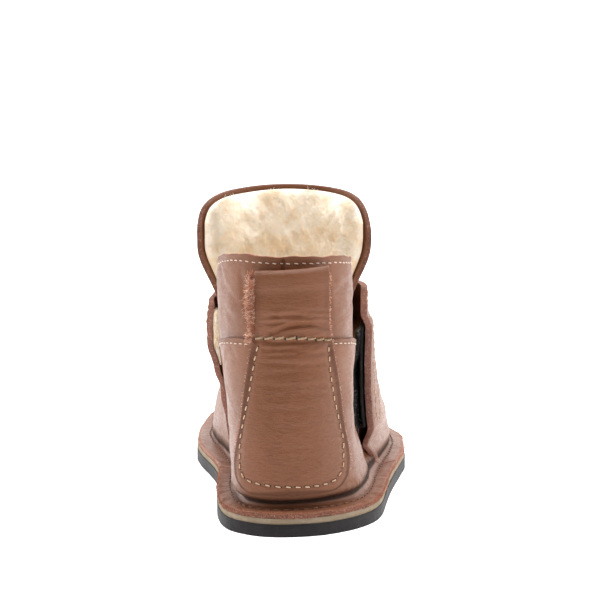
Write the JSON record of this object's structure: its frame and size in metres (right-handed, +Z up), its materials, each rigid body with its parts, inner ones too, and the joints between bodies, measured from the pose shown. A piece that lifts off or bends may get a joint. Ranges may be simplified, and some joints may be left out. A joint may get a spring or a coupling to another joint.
{
  "type": "fleece-lined toddler boot",
  "caption": "Small right-foot leather boot with a fleece lining, thin flat sole, stitched-down edge, heel patch with a pull loop and a side closing flap.",
  "frame": {"origin": "on the floor under the middle of the sole's box", "axes": "+Y towards the toe, +X towards the outer side of the foot, +Z up"},
  "size_m": [0.0822, 0.172, 0.1138],
  "materials": {
    "rubber": "matt moulded rubber",
    "midsole": "matt beige crepe layer",
    "leather": "brown grained leather, semi-matt",
    "fleece": "cream sheepskin fleece",
    "hook_and_loop": "black woven hook and loop"
  },
  "bodies": {
    "root": {"outsole": "rubber", "midsole": "midsole", "upper": "leather", "fleece_lining": "fleece", "insole": "fleece", "tongue": "leather", "tongue_fleece": "fleece", "heel_patch_loop": "leather", "hook_tape": "hook_and_loop", "loop_tape": "hook_and_loop"}
  },
  "joints": []
}
